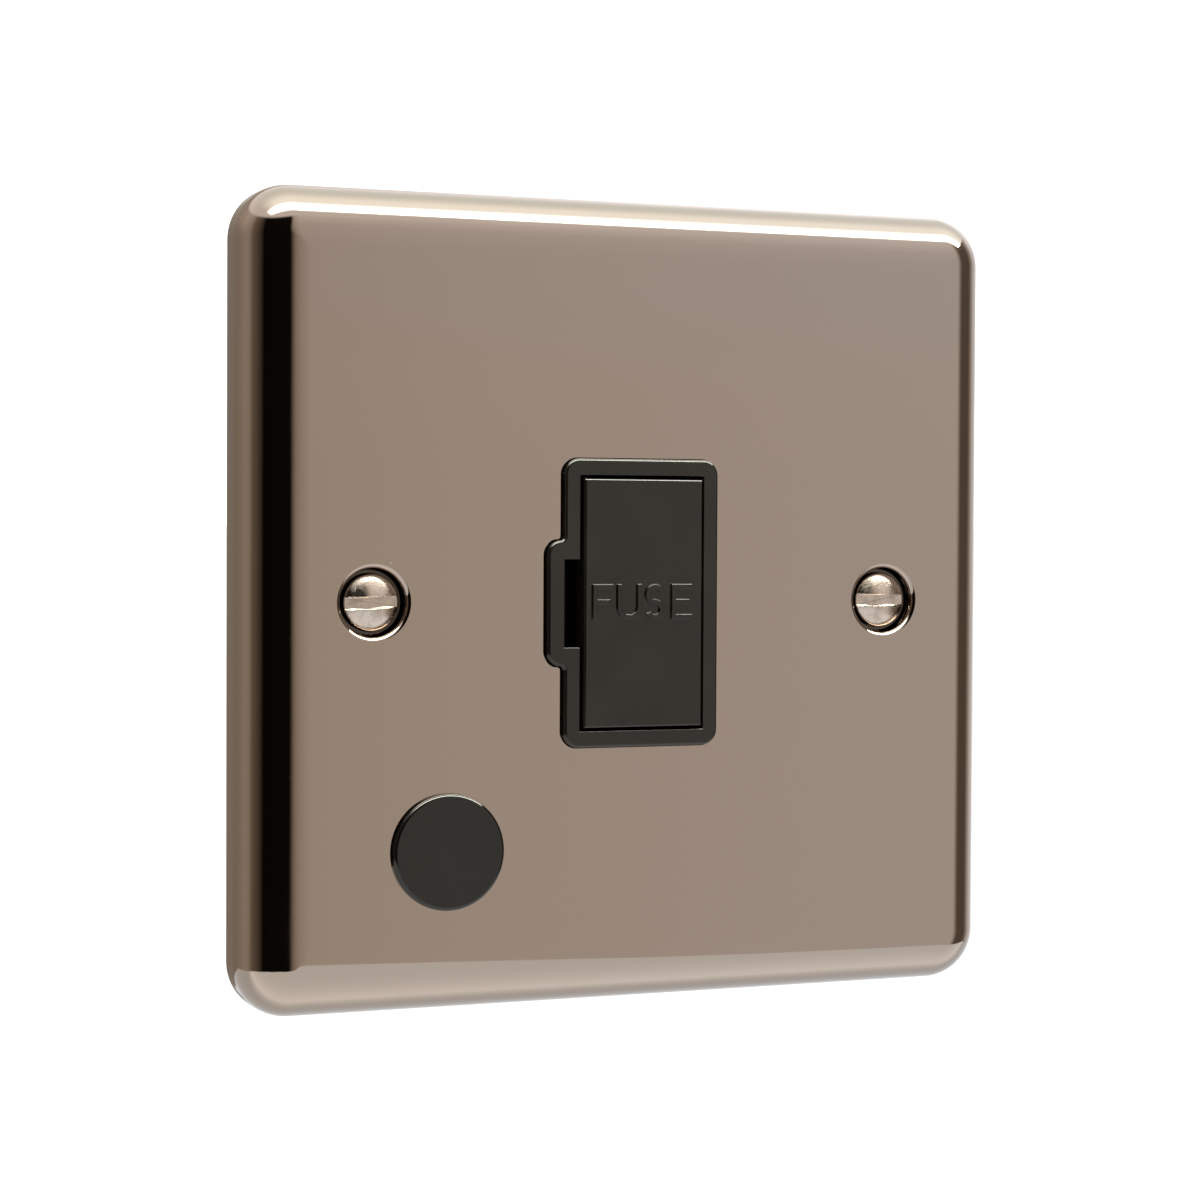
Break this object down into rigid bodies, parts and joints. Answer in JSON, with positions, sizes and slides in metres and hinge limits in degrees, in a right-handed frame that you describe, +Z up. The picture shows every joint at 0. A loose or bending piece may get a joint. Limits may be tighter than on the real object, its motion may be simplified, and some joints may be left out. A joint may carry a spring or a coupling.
{
  "type": "fused spur unit",
  "caption": "Square metal plate fused connection unit with a pull-out fuse carrier, a blanked flex outlet, wall fixing screws and rear terminals.",
  "frame": {"origin": "centre of the front plate on the wall plane, where the plate's rim meets the wall", "axes": "+Z up, +X to the right seen from the front, -Y out of the wall towards the viewer"},
  "size_m": [0.088, 0.0285, 0.088],
  "materials": {
    "plate_nickel": "polished black nickel plate, warm grey",
    "black_moulding": "satin black thermoset",
    "black_gloss": "smooth black plastic",
    "cover_moulding": "dark grey moulded plastic",
    "screw_nickel": "bright nickel plate, slightly worn",
    "brass": "drawn brass",
    "zinc_steel": "zinc plated steel",
    "ceramic": null,
    "fuse_wire": "tinned wire"
  },
  "bodies": {
    "base": {"front_plate": "plate_nickel", "housing": "black_moulding", "supply_contact": "brass", "load_contact": "brass", "neutral_link": "brass", "live_in_terminal": "brass", "neutral_in_terminal": "brass", "live_out_terminal": "brass", "neutral_out_terminal": "brass", "earth_terminal": "brass", "live_in_screw": "zinc_steel", "neutral_in_screw": "zinc_steel", "live_out_screw": "zinc_steel", "neutral_out_screw": "zinc_steel", "earth_in_screw": "zinc_steel", "earth_out_screw": "zinc_steel", "rear_cover": "cover_moulding", "cover_screws": "zinc_steel", "cord_grip_bar": "cover_moulding", "cord_grip_screws": "zinc_steel", "blanking_plug": "black_gloss", "fixing_screw_left": "screw_nickel", "fixing_screw_right": "screw_nickel", "plate_studs": "zinc_steel", "stud_clips": "zinc_steel", "earth_strap": "brass"},
    "carrier": {"fuse_carrier": "black_moulding", "fuse_tube": "ceramic", "fuse_cap_upper": "screw_nickel", "fuse_cap_lower": "screw_nickel", "fuse_element": "fuse_wire"}
  },
  "joints": [
    {"name": "carrier_slide", "type": "slide", "parent": "base", "child": "carrier", "axis": [0, -1, 0], "range_m": [0, 0.012]}
  ]
}
